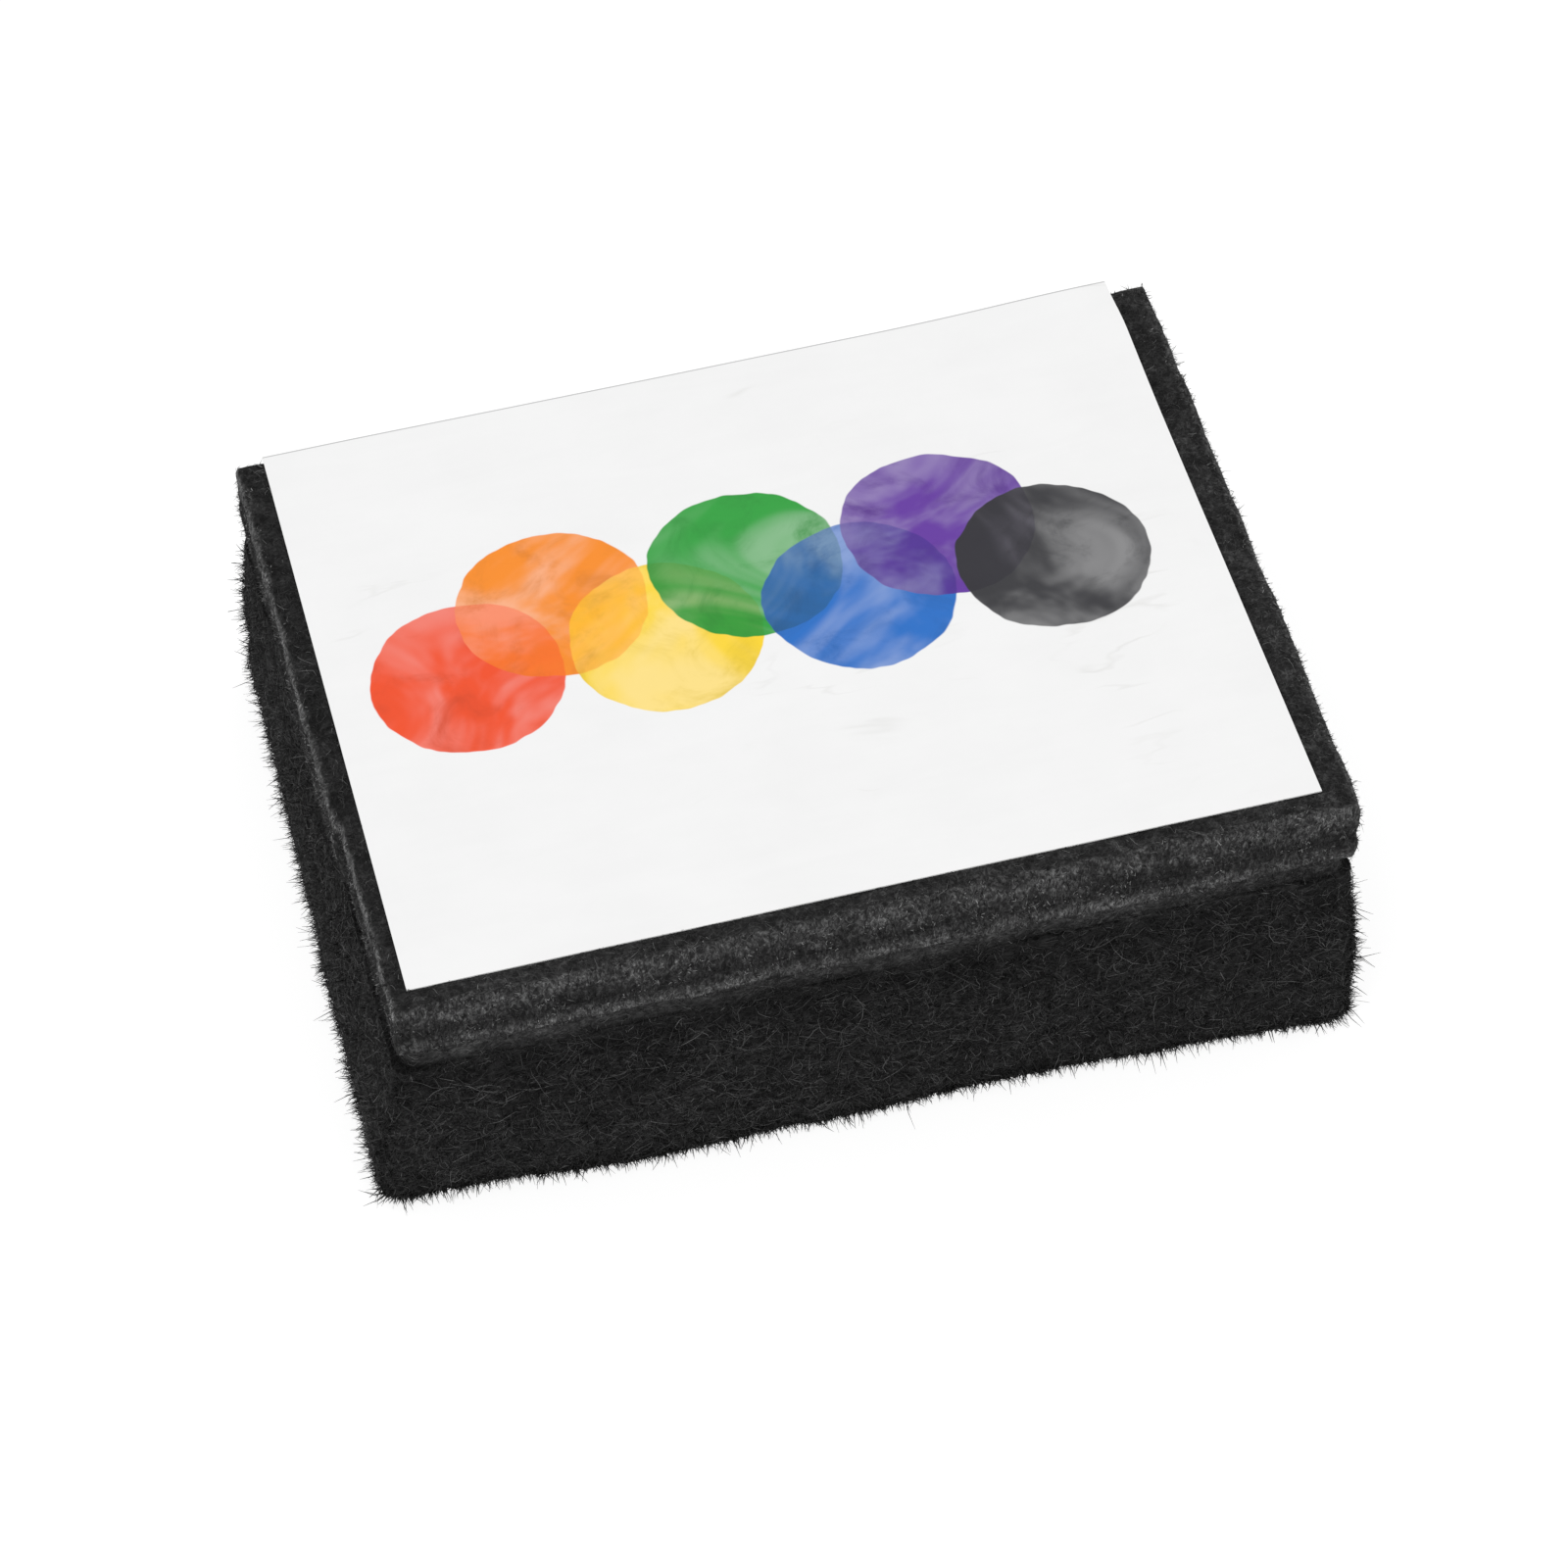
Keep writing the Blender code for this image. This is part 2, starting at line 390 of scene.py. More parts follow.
def pad_shape(points, normals, outward, insets):
    """The soft pad: hollow under its facing but for the +X end and the back of the -X end, swelling below,
    and with an uneven lower edge."""
    under_top = under_pad_top(points)
    full = near_end(points, 0, 8 * MM) * smooth_step(-10 * MM, 25 * MM, points[:, 1])
    full = np.maximum(full, near_end(points, 1, 12 * MM))
    tapered = PAD_TAPER * (1 - smooth_step(0, 8 * MM, under_top))
    pinch = -pad_hollow(under_top) * (1 - full) - tapered * full
    amount = (pinch + roughness(points, PAD_ROUGHNESS, 3)) * (1 - smooth_step(0.5 * MM, 6 * MM, insets))
    fine = 0.15 * MM * waves(points, 1.2 * MM, 5, 2) * smooth_step(0.0, 0.6 * MM, under_top)
    moved = points + outward * amount[:, None] + normals * fine[:, None]
    low = smooth_step(2 * MM, 9 * MM, under_top)
    front = 1 - smooth_step(0, 8 * MM, points[:, 1] - PAD.y[0])
    moved[:, 1] -= along(points, 0, FRONT_SWELL) * front * low
    left = along(points, 1, LEFT_SWELL) * low + along(points, 1, LEFT_STAND)
    right = RIGHT_SWELL * low
    moved[:, 0] += right * near_end(points, 1, 8 * MM) - left * near_end(points, 0, 8 * MM)
    edge = (1 - smooth_step(0.3 * MM, 1.5 * MM, insets)) * (1 - smooth_step(0.5 * MM, 3 * MM, points[:, 2]))
    moved[:, 2] += HEM_HEIGHT * (0.3 + 0.7 * waves(points, 4 * MM, 6, 2)) * edge
    moved[:, 2] = np.maximum(moved[:, 2], UNDERSIDE)
    return moved


# -------- fibres

FREE_ROOT = 0.05 * MM  # how deep a standing fibre starts
LYING_ROOT = 0.04 * MM  # how deep both ends of a lying fibre are


class Surface:
    """Shaped pieces of felt, ready to sow fibres on and to lay them over."""

    def __init__(self, *pieces):
        points, triangles = [], []
        offset = 0
        for piece in pieces:
            piece.data.calc_loop_triangles()
            points += [v.co for v in piece.data.vertices]
            triangles.append(np.array([t.vertices for t in piece.data.loop_triangles]) + offset)
            offset = len(points)
        self.points = np.array(points)
        self.triangles = np.concatenate(triangles)
        first, second, third = (self.points[self.triangles[:, k]] for k in range(3))
        normal = np.cross(second - first, third - first)
        size = np.linalg.norm(normal, axis=1)
        self.normals = normal / np.maximum(size, 1e-15)[:, None]
        self.middles = (first + second + third) / 3
        self.area = size / 2
        self.tree = BVHTree.FromPolygons(self.points.tolist(), self.triangles.tolist())

    def sow(self, per_mm2, weight, rng):
        """Random points and normals on the surface, thinned by weight(points, normals), from 0 to 1."""
        share = self.area * np.clip(weight(self.middles, self.normals), 0, 1)
        count = int(share.sum() / MM ** 2 * per_mm2)
        chosen = rng.choice(len(share), count, p=share / share.sum())
        first, second, third = (self.points[self.triangles[chosen, k]] for k in range(3))
        u, v = rng.random((2, count, 1))
        u, v = np.where(u + v > 1, 1 - u, u), np.where(u + v > 1, 1 - v, v)
        return first + u * (second - first) + v * (third - first), self.normals[chosen]


def level_direction(normal):
    """The level direction along a surface, or +X on a flat top or bottom."""
    level = Vector((-normal.y, normal.x, 0))
    if level.length < 0.3:
        return Vector((1, 0, 0))
    return level.normalized()


def lay_fibre(surface, start, normal, rng, style):
    """The path of one fibre, which wanders over the surface and stands off it by style's heights."""
    count = style["points"]
    length = rng.gamma(style["shape"], style["length"] / style["shape"])
    step = min(length, 3 * style["length"]) / (count - 1)
    angle = rng.normal(0, style["spread"]) + (math.pi if rng.random() < 0.5 else 0)
    bend = rng.normal(0, style["bend"])
    lift = style["lift"] * rng.gamma(2, 0.5)
    free = rng.random() < style["free"]
    here, up = Vector(start), Vector(normal)
    path = []
    for k in range(count):
        share = k / (count - 1)
        if free:
            height = lift * share ** 1.2 - FREE_ROOT
        else:
            height = lift * math.sin(math.pi * share) - LYING_ROOT
        path.append(here + up * height)
        angle += bend + rng.normal(0, style["wander"])
        level = level_direction(up)
        across = up.cross(level)
        direction = level * math.cos(angle) + across * math.sin(angle)
        here, up, _, _ = surface.tree.find_nearest(here + direction * step)
    return path


def grow(surface, per_mm2, weight, style, rng):
    """Fibres sown over a surface: their paths, as an array of fibres, points and 3, and their style."""
    starts, normals = surface.sow(per_mm2, weight, rng)
    paths = np.array([lay_fibre(surface, s, n, rng, style) for s, n in zip(starts, normals)])
    paths[:, :, 2] = np.maximum(paths[:, :, 2], LOWEST + THICKEST * style["thickness"] / 2)
    return paths, style


def tubes(paths, style, rng):
    """Thin three-sided tubes along the paths: points, and faces of four and of three. Thin fibres taper to
    both ends, and thick ones from root to tip."""
    fibres, count, _ = paths.shape
    ahead = np.gradient(paths, axis=1)
    ahead /= np.maximum(np.linalg.norm(ahead, axis=2, keepdims=True), 1e-12)
    guide = rng.normal(size=(fibres, 1, 3))
    side = np.cross(ahead, guide)
    side /= np.maximum(np.linalg.norm(side, axis=2, keepdims=True), 1e-12)
    other = np.cross(ahead, side)
    if style["thickness"] > 1.2 * FIBRE:
        taper = np.linspace(1, 0.15, count)
    else:
        taper = np.sqrt(np.clip(np.sin(np.pi * np.linspace(0.06, 0.94, count)), 0.2, 1))
    radius = style["thickness"] / 2 * rng.uniform(2 - THICKEST, THICKEST, (fibres, 1)) * taper[None, :]
    ring = []
    for corner in range(3):
        angle = 2 * math.pi * corner / 3
        ring.append(paths + radius[:, :, None] * (side * math.cos(angle) + other * math.sin(angle)))
    points = np.stack(ring, 2).reshape(-1, 3)
    base = (np.arange(fibres) * count * 3)[:, None, None]
    level = (np.arange(count - 1) * 3)[None, :, None]
    corner = np.arange(3)[None, None, :]
    after = (corner + 1) % 3
    quads = np.stack(
        [base + level + corner, base + level + after, base + level + after + 3, base + level + corner + 3], -1
    ).reshape(fibres, -1, 4)
    start = np.arange(fibres)[:, None] * count * 3
    last = start + (count - 1) * 3
    caps = np.stack([start + [0, 2, 1], last + [0, 1, 2]], 1)
    return points, quads, caps


def fibre_piece(name, batches, materials, tone, rng):
    """One piece of many fibres, from batches of paths and their style. tone(paths, rng) gives each fibre the
    number of its material."""
    points, quads, caps, long_tones, cap_tones = [], [], [], [], []
    offset = 0
    for paths, style in batches:
        tube_points, tube_quads, tube_caps = tubes(paths, style, rng)
        points.append(tube_points)
        quads.append(tube_quads.reshape(-1, 4) + offset)
        caps.append(tube_caps.reshape(-1, 3) + offset)
        tones = tone(paths, rng)
        long_tones.append(np.repeat(tones, tube_quads.shape[1]))
        cap_tones.append(np.repeat(tones, 2))
        offset += len(tube_points)
    faces = [np.concatenate(quads), np.concatenate(caps)]
    piece = add_mesh(name, np.concatenate(points), faces, np.concatenate(long_tones + cap_tones))
    for material in materials:
        piece.data.materials.append(material)
    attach(piece, "root")


# -------- materials

class Nodes:
    """A short way to write a material's nodes."""

    def __init__(self, name):
        self.material = bpy.data.materials.new(name)
        self.material.use_nodes = True
        self.tree = self.material.node_tree
        self.shader = self.tree.nodes["Principled BSDF"]

    def add(self, kind, inputs=(), **settings):
        """A new node with these inputs, as pairs of a name or number and what is fed in there."""
        node = self.tree.nodes.new("ShaderNode" + kind)
        for key, value in settings.items():
            setattr(node, key, value)
        for key, value in inputs:
            self.feed(node.inputs[key], value)
        return node

    def feed(self, target, value):
        """Set a socket to a plain value, or link it to another socket."""
        if isinstance(value, bpy.types.NodeSocket):
            self.tree.links.new(value, target)
        else:
            target.default_value = value

    def set(self, name, value):
        """Set or link one of the shader's inputs."""
        self.feed(self.shader.inputs[name], value)

    def place(self):
        """Object coordinates, in metres."""
        return self.add("TexCoord").outputs["Object"]

    def scaled(self, vector, scale, turn=0.0, shift=0.0):
        """A vector turned a little about every axis, scaled and then shifted."""
        angles = [("Vector", vector), ("Rotation", (turn, turn, turn))]
        turned = self.add("VectorRotate", angles, rotation_type="EULER_XYZ").outputs["Vector"]
        inputs = [("Vector", turned), ("Scale", scale), ("Location", (shift, shift, shift))]
        return self.add("Mapping", inputs).outputs["Vector"]

    def noise(self, vector, scale, detail=3.0, roughness=0.55, distortion=0.0):
        inputs = [("Vector", vector), ("Scale", scale), ("Detail", detail), ("Roughness", roughness)]
        return self.add("TexNoise", inputs + [("Distortion", distortion)]).outputs["Fac"]

    def attribute(self, name):
        """A number stored at each point of the mesh."""
        return self.add("Attribute", attribute_name=name).outputs["Fac"]

    def split(self, vector):
        """A vector's three parts."""
        return self.add("SeparateXYZ", [(0, vector)]).outputs

    def lines(self, vector, width, detail):
        """Thin wandering lines: 1 along a line, and 0 away from it."""
        ground = self.noise(vector, 1.0, detail, 0.5, 0.5)
        away = self.math("ABSOLUTE", self.math("SUBTRACT", ground, 0.5))
        return self.math("SUBTRACT", 1.0, self.math("DIVIDE", away, width), clamp=True)

    def ramp(self, factor, stops):
        """A colour ramp from (place, brightness or colour) stops."""
        node = self.add("ValToRGB", [("Fac", factor)])
        elements = node.color_ramp.elements
        while len(elements) < len(stops):
            elements.new(0.5)
        for element, (position, colour) in zip(elements, stops):
            element.position = position
            if isinstance(colour, (int, float)):
                colour = (colour, colour, colour)
            element.color = (*colour, 1.0)
        return node.outputs["Color"]

    def mix(self, factor, first, second, blend="MIX"):
        inputs = [("Factor", factor), (6, first), (7, second)]
        return self.add("Mix", inputs, data_type="RGBA", blend_type=blend).outputs[2]

    def tint(self, colour, shade):
        """A colour made lighter or darker by a shade."""
        return self.mix(1.0, colour, shade, "MULTIPLY")

    def math(self, operation, first, second=0.0, clamp=False):
        inputs = [(0, first), (1, second)]
        return self.add("Math", inputs, operation=operation, use_clamp=clamp).outputs[0]

    def swing(self, noise, size):
        """A noise made to swing about 0 by up to half of this size."""
        return self.math("MULTIPLY", self.math("SUBTRACT", noise, 0.5), size)

    def between(self, value, low, high):
        """0 below low, 1 above high, and smooth between."""
        inputs = [("Value", value), ("From Min", low), ("From Max", high)]
        return self.add("MapRange", inputs, interpolation_type="SMOOTHSTEP").outputs["Result"]

    def bump(self, height, strength, distance):
        inputs = [("Strength", strength), ("Distance", distance), ("Height", height)]
        self.set("Normal", self.add("Bump", inputs).outputs["Normal"])


def grey(value):
    return (value, value, value, 1.0)


def fibre_material(name, brightness):
    """One tone of single fibres."""
    n = Nodes(name)
    n.set("Base Color", grey(brightness))
    n.set("Roughness", 0.6)
    n.set("Specular IOR Level", 0.2)
    return n.material


FELT_BUMP = 0.12 * MM


def felt_finish(n):
    """Felt scatters light from its fibres and hardly shines."""
    n.set("Roughness", 1.0)
    n.set("Specular IOR Level", 0.08)
    n.set("Sheen Weight", 0.06)
    n.set("Sheen Roughness", 0.5)
    n.set("Sheen Tint", grey(0.4))


def tangle(n, place, across, upright, width):
    """A mat of fine wandering fibres, from 0 in the hollows to 1 along a fibre, in three layers."""
    found = 0.0
    for layer, (turn, stretch) in enumerate([(0.0, 1.0), (0.5, 1.35), (-0.4, 0.7)]):
        scale = (across * stretch, across * stretch, upright * stretch)
        vector = n.scaled(place, scale, turn, 3.7 * layer)
        lines = n.lines(vector, width, 2.0 + layer * 0.5)
        found = n.math("MAXIMUM", found, n.math("MULTIPLY", lines, 1.0 - 0.2 * layer))
    return found


def needled_material(name, dark, light, painted_shade, ragged):
    """Soft needled felt: a mat of fine, mostly level fibres over dark hollows. painted_shade makes it lighter
    or darker by share of its height, as painted shade, and ragged is how unevenly."""
    n = Nodes(name)
    place = n.place()
    strands = tangle(n, place, 620, 1500, 0.045)
    fine = n.noise(n.scaled(place, (2600, 2600, 3600)), 1.0, 3.0, 0.7, 0.8)
    clumps = n.noise(place, 260, 3.0, 0.6)
    mat = n.math("ADD", n.math("MULTIPLY", strands, 0.65), n.math("MULTIPLY", fine, 0.5))
    colour = n.ramp(mat, [(0.15, dark), (0.45, (2 * dark + light) / 3), (0.85, light)])
    colour = n.tint(colour, n.ramp(clumps, [(0.3, 0.62), (0.7, 1.25)]))
    share = n.attribute("height_share")
    uneven = n.swing(n.noise(place, 250, 3.0), ragged)
    # Painted shade by share of the height, made uneven
    colour = n.tint(colour, n.ramp(n.math("ADD", share, uneven), painted_shade))
    n.set("Base Color", colour)
    felt_finish(n)
    n.bump(mat, 1.0, FELT_BUMP)
    return n.material


def pressed_material(name, bands, left_shadowed_bands):
    """Dense pressed felt. bands is the brightness of its cut faces by share of the ply's height, and
    left_shadowed_bands that of its -X face, mostly painted shadow. The look of a cut face goes on over
    its edge onto the top."""
    n = Nodes(name)
    place = n.place()
    tufts = n.noise(n.scaled(place, (3200, 3200, 1500)), 1.0, 4.0, 0.75, 0.9)
    patches = n.noise(n.scaled(place, (300, 300, 500)), 1.0, 3.0, 0.65, 0.6)
    share = n.attribute("height_share")
    facing = n.split(n.add("NewGeometry").outputs["Normal"])
    ragged = n.math("ADD", share, n.swing(patches, 0.55))
    # The -X face takes its own bands, mostly painted shadow
    is_left = n.between(facing["X"], -0.5, -0.8)
    band = n.mix(is_left, n.ramp(ragged, bands), n.ramp(ragged, left_shadowed_bands))
    specks = n.ramp(tufts, [(0.30, 0.15), (0.44, 0.50), (0.52, 1.05), (0.60, 1.95), (0.70, 4.0)])
    blotch = n.ramp(patches, [(0.34, 0.55), (0.5, 0.95), (0.66, 1.5)])
    cut = n.tint(n.tint(band, specks), blotch)
    grain = n.noise(n.scaled(place, (2800, 2800, 2800)), 1.0, 4.0, 0.7, 1.0)
    strands = tangle(n, place, 900, 900, 0.04)
    nap = n.math("ADD", n.math("MULTIPLY", strands, 0.35), n.math("MULTIPLY", grain, 0.75))
    top = n.ramp(nap, [(0.22, 0.008), (0.45, 0.019), (0.7, 0.040), (0.9, 0.075)])
    worn = n.ramp(n.noise(place, 420, 3.0, 0.65), [(0.34, 0.55), (0.66, 1.4)])
    flecked = n.ramp(n.noise(place, 1100, 3.0, 0.65), [(0.3, 0.6), (0.7, 1.45)])
    top = n.tint(n.tint(top, worn), flecked)
    inward = n.math("ADD", n.attribute("inset_mm"), n.swing(patches, 2.4))
    inward = n.math("ADD", inward, n.swing(tufts, 0.8))
    at_left = n.between(n.split(place)["X"], UPPER.x[0] + 3.0 * MM, UPPER.x[0] + 1.5 * MM)
    top = n.tint(top, n.ramp(at_left, [(0, 1.0), (1, 0.62)]))
    inward = n.math("ADD", inward, n.math("MULTIPLY", at_left, 0.25))
    flat = n.between(n.math("ABSOLUTE", facing["Z"]), 0.3, 0.6)
    level = n.math("MULTIPLY", flat, n.between(inward, 0.50, 0.75))
    n.set("Base Color", n.mix(level, cut, top))
    felt_finish(n)
    n.bump(n.math("ADD", nap, tufts), 1.0, FELT_BUMP)
    return n.material


def glue_material():
    """Hot-melt glue, slightly cloudy."""
    n = Nodes("glue_film")
    cloud = n.noise(n.place(), 500, 3.0, 0.6)
    colour = n.ramp(cloud, [(0.3, (0.10, 0.09, 0.07)), (0.7, (0.18, 0.16, 0.12))])
    n.set("Base Color", colour)
    n.set("Roughness", n.ramp(cloud, [(0.3, 0.35), (0.7, 0.6)]))
    return n.material


# -------- the label

LABEL_PAPER = 0.12 * MM
LABEL_CELL = 0.6 * MM
LABEL_GLUE = 0.15 * MM  # from the label down to the middle of its adhesive
HALF_FILM = 0.055 * MM  # from the middle of a glue film out to the felt
LABEL_WAVE = 0.05 * MM
CORNER_LIFT = 0.55 * MM  # at the label's back-right corner
CORNER_TURN = 0.25 * MM
LABEL_BUMP = 0.05 * MM
PAPER_WHITE = 0.79
DOT_COLOURS = [
    (0.86, 0.07, 0.01), (0.92, 0.26, 0.01), (0.95, 0.66, 0.02), (0.02, 0.34, 0.04),
    (0.01, 0.15, 0.55), (0.12, 0.03, 0.34), (0.03, 0.03, 0.035),
]


def dot_places():
    """The middles and the radius of the printed row of paint dots, across the label behind its middle."""
    width = LABEL.x[1] - LABEL.x[0]
    middle_x = sum(LABEL.x) / 2 - 0.012 * width
    middle_y = sum(LABEL.y) / 2 + 0.048 * width
    radius = 0.108 * width
    spacing = 0.111 * width
    stagger = 0.04 * width
    first = middle_x - spacing * (len(DOT_COLOURS) - 1) / 2
    places = []
    for number in range(len(DOT_COLOURS)):
        up = stagger if number % 2 else -stagger
        places.append((first + spacing * number, middle_y + up))
    return places, radius


def printed_dot(n, colour, flat, place, radius, ink):
    """Prints one dot of paint over a colour, uneven like watercolour."""
    seed = 1000 * place[0]
    mottle = n.noise(n.scaled(flat, (190, 190, 1), 0.0, seed), 1.0, 5.0, 0.65, 0.8)
    wash = n.noise(n.scaled(flat, (60, 60, 1), 0.0, seed), 1.0, 3.0, 0.6, 1.5)
    wobble = n.noise(flat, 130, 3.0, 0.6)
    away = n.add("VectorMath", [(0, flat), (1, (*place, 0))], operation="DISTANCE").outputs["Value"]
    edge = n.math("ADD", away, n.swing(wobble, 1.6 * MM))
    outside = n.between(edge, radius - 0.07 * MM, radius + 0.07 * MM)
    pale = tuple(c + (1 - c) * 0.22 for c in ink)
    deep = tuple(c * 0.72 for c in ink)
    washed = n.mix(n.between(wash, 0.4, 0.7), (*ink, 1), (*pale, 1))
    washed = n.mix(n.between(mottle, 0.45, 0.85), washed, (*deep, 1))
    over = n.mix(1.0, colour, washed, "MULTIPLY")
    shown = n.mix(0.5, over, washed)
    return n.mix(outside, shown, colour)


def label_material():
    """White satin label stock, a little scuffed, with a plain row of overlapping paint dots printed on it."""
    n = Nodes("printed_label")
    place = n.place()
    flat = n.scaled(place, (1, 1, 0))
    clouds = n.noise(flat, 90, 4.0, 0.6)
    smears = n.noise(n.scaled(flat, (70, 330, 0), 0.0, 4.0), 1.0, 4.0, 0.65, 0.8)
    creases = n.lines(n.scaled(flat, (45, 160, 0), 0.0, 9.0), 0.018, 4.0)
    worn = n.math("MULTIPLY", creases, n.between(n.noise(flat, 55, 3.0, 0.6), 0.55, 0.68))
    soil = n.math("ADD", n.math("MULTIPLY", clouds, 0.6), n.math("MULTIPLY", smears, 0.4))
    colour = n.ramp(soil, [(0.36, PAPER_WHITE * 0.972), (0.6, PAPER_WHITE)])
    colour = n.mix(n.math("MULTIPLY", worn, 0.2), colour, (0.42, 0.41, 0.38, 1))
    places, radius = dot_places()
    for centre, ink in zip(places, DOT_COLOURS):
        colour = printed_dot(n, colour, flat, centre, radius, ink)
    # A painted shade line along the label's back edge
    edge = n.between(n.split(place)["Y"], LABEL.y[1] - 0.16 * MM, LABEL.y[1] - 0.1 * MM)
    colour = n.mix(n.math("MULTIPLY", edge, 0.6), colour, (0.3, 0.3, 0.3, 1))
    n.set("Base Color", colour)
    n.set("Roughness", n.ramp(soil, [(0.3, 0.38), (0.7, 0.5)]))
    n.set("Specular IOR Level", 0.35)
    n.bump(n.math("SUBTRACT", soil, worn), 0.15, LABEL_BUMP)
    return n.material


def back_right_corner(x, y, start):
    """1 at the label's back-right corner, fading to 0 where the shares of its length and depth add up to
    start."""
    u = (x - LABEL.x[0]) / (LABEL.x[1] - LABEL.x[0])
    v = (y - LABEL.y[0]) / (LABEL.y[1] - LABEL.y[0])
    return smooth_step(start, 2.0, u + v)


def build_label():
    """The label: a thin wavy sheet on the felt, hanging over its back edge, with a lifted, turned corner."""
    columns = round((LABEL.x[1] - LABEL.x[0]) / LABEL_CELL)
    rows = round((LABEL.y[1] - LABEL.y[0]) / LABEL_CELL)
    x, y = np.meshgrid(np.linspace(*LABEL.x, columns + 1), np.linspace(*LABEL.y, rows + 1))
    x, y = x.ravel(), y.ravel()
    flat = np.column_stack([x, y, np.zeros_like(x)])
    lift = LABEL_WAVE * (1 + waves(flat, 16 * MM, 11, 2)) + CORNER_LIFT * back_right_corner(x, y, 1.70)
    x = x - CORNER_TURN * back_right_corner(x, y, 1.90)
    z = height_at(LABEL.bottom, LABEL, x) - LABEL_GLUE + HALF_FILM + lift
    under = np.column_stack([x, y, z])
    over = under + np.array([0, 0, LABEL_PAPER])
    count = len(x)
    corner = (np.arange(rows)[:, None] * (columns + 1) + np.arange(columns)[None, :]).ravel()
    top = np.stack([corner, corner + 1, corner + columns + 2, corner + columns + 1], 1) + count
    bottom = (top - count)[:, ::-1]
    front = np.arange(columns)
    right = np.arange(rows) * (columns + 1) + columns
    back = rows * (columns + 1) + columns - np.arange(columns)
    left = (rows - np.arange(rows)) * (columns + 1)
    rim = np.concatenate([front, right, back, left])
    after = np.roll(rim, -1)
    sides = np.stack([rim, after, after + count, rim + count], 1)
    label = add_mesh("label", np.concatenate([under, over]), [top, bottom, sides])
    label.data.set_sharp_from_angle(angle=math.radians(50))
    label.data.materials.append(label_material())
    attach(label, "root")
    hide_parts("label_sheet")
    return label


# -------- the felt pieces

# Brightness by share of the layer's height, from its bottom
UPPER_BANDS = [(0.0, 0.018), (0.25, 0.021), (0.42, 0.032), (0.66, 0.047), (0.88, 0.053), (1.0, 0.046)]
# The upper ply's -X face: painted shadow below a light line along its top edge
UPPER_LEFT_PAINTED_SHADOW_BANDS = [(0.0, 0.012), (0.5, 0.016), (0.62, 0.060), (1.0, 0.095)]
LOWER_BANDS = [(0.0, 0.030), (0.12, 0.062), (0.36, 0.062), (0.62, 0.036), (0.85, 0.023), (1.0, 0.018)]
# The lower ply's -X face: painted shadow all over
LOWER_LEFT_PAINTED_SHADOW_BANDS = [(0.0, 0.020), (0.3, 0.024), (0.6, 0.014), (1.0, 0.012)]
# Painted shade on the facing: darker towards its bottom, running into the pad's painted hollow, and darker at
# its top
FACING_PAINTED_SHADE = [(0.0, 0.35), (0.3, 0.75), (0.6, 1.1), (0.85, 0.95), (1.0, 0.45)]
# Painted shade on the pad: darker in its hollow under the facing, by share of its height
PAD_HOLLOW_PAINTED_SHADE = [(0.0, 1.0), (0.73, 1.0), (0.88, 0.60), (0.96, 0.60), (1.0, 0.75)]


def raised(plane, distance):
    return (plane[0] + distance, plane[1] + distance)


def joint(upper, lower):
    """The middle plane of the gap between two layers, where their glue is."""
    return ((upper.bottom[0] + lower.top[0]) / 2, (upper.bottom[1] + lower.top[1]) / 2)


def settle(piece, node, material):
    """Put a felt layer in its CAD node's place."""
    piece.data.materials.append(material)
    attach(piece, "root")
    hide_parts(node)
    return piece


def build_upper():
    top = raised(LABEL.bottom, -LABEL_GLUE - HALF_FILM)
    bottom = raised(joint(UPPER, LOWER), HALF_FILM)
    profile = side_profile(UPPER, 0.5 * MM, 0.05 * MM, 3.5 * MM, 1.0 * MM, PLY_CELL, 0.0, HALF_FILM)
    shape = ply_shape(UPPER, napped=True)
    piece = felt_body("upper_felt", UPPER, bottom, top, BACKING_CORNER, profile, shape)
    material = pressed_material("upper_pressed_felt", UPPER_BANDS, UPPER_LEFT_PAINTED_SHADOW_BANDS)
    return settle(piece, "upper_backing_felt", material)


def build_lower():
    top = raised(joint(UPPER, LOWER), -HALF_FILM)
    bottom = raised(joint(LOWER, FACING), HALF_FILM)
    profile = side_profile(LOWER, 0.05 * MM, 0.2 * MM, 1.0 * MM, 1.0 * MM, PLY_CELL, HALF_FILM, HALF_FILM)
    piece = felt_body("lower_felt", LOWER, bottom, top, BACKING_CORNER, profile, ply_shape(LOWER))
    material = pressed_material("lower_pressed_felt", LOWER_BANDS, LOWER_LEFT_PAINTED_SHADOW_BANDS)
    return settle(piece, "lower_backing_felt", material)


def build_facing():
    top = raised(joint(LOWER, FACING), -HALF_FILM)
    bottom = raised(joint(FACING, PAD), 0.01 * MM)
    profile = side_profile(FACING, 0.12 * MM, 0.04 * MM, 1.0 * MM, 1.0 * MM, PLY_CELL, HALF_FILM, 0.0)
    piece = felt_body("facing_felt", FACING, bottom, top, FACING_CORNER, profile, facing_shape)
    material = needled_material("facing_felt", 0.017, 0.068, FACING_PAINTED_SHADE, 0.6)
    return settle(piece, "pad_facing", material)


def build_pad():
    top = raised(joint(FACING, PAD), -0.01 * MM)
    profile = side_profile(PAD, 0.05 * MM, 0.9 * MM, 1.8 * MM, 4.5 * MM, SIDE_CELL, 0.0, 0.0)
    piece = felt_body("pad_felt", PAD, (0.0, 0.0), top, PAD_CORNER, profile, pad_shape)
    material = needled_material("needled_felt", 0.004, 0.036, PAD_HOLLOW_PAINTED_SHADE, 0.2)
    return settle(piece, "wiping_pad", material)


# -------- the fibres of each piece

